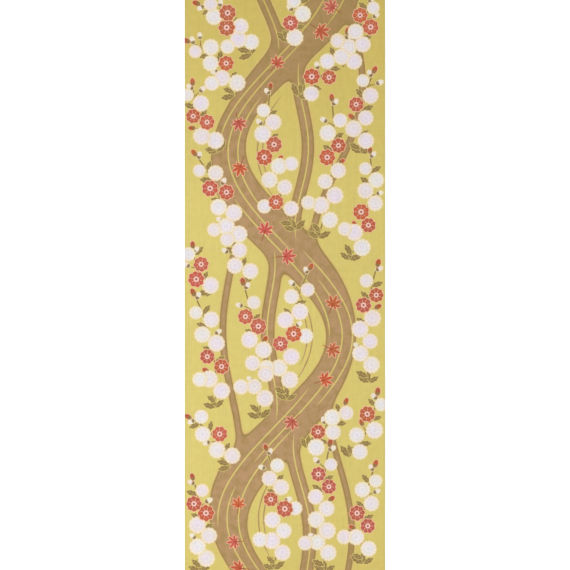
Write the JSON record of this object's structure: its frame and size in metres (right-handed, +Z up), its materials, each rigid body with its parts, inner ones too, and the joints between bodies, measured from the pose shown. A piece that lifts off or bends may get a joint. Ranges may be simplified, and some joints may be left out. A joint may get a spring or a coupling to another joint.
{
  "type": "tenugui towel",
  "caption": "Long narrow plain-weave cotton towel laid flat, dyed through with streams, chrysanthemums and small red flowers on ochre.",
  "frame": {"origin": "centre of the underside, on the surface that the cloth lies on", "axes": "+Y along the length towards the print's top end, +X across to the right selvedge seen from above, +Z up out of the printed side"},
  "size_m": [0.35, 1, 0.0012],
  "materials": {
    "dyed_cotton": "matte plain-weave cotton, dyed through"
  },
  "bodies": {
    "root": {"cloth": "dyed_cotton"}
  },
  "joints": []
}
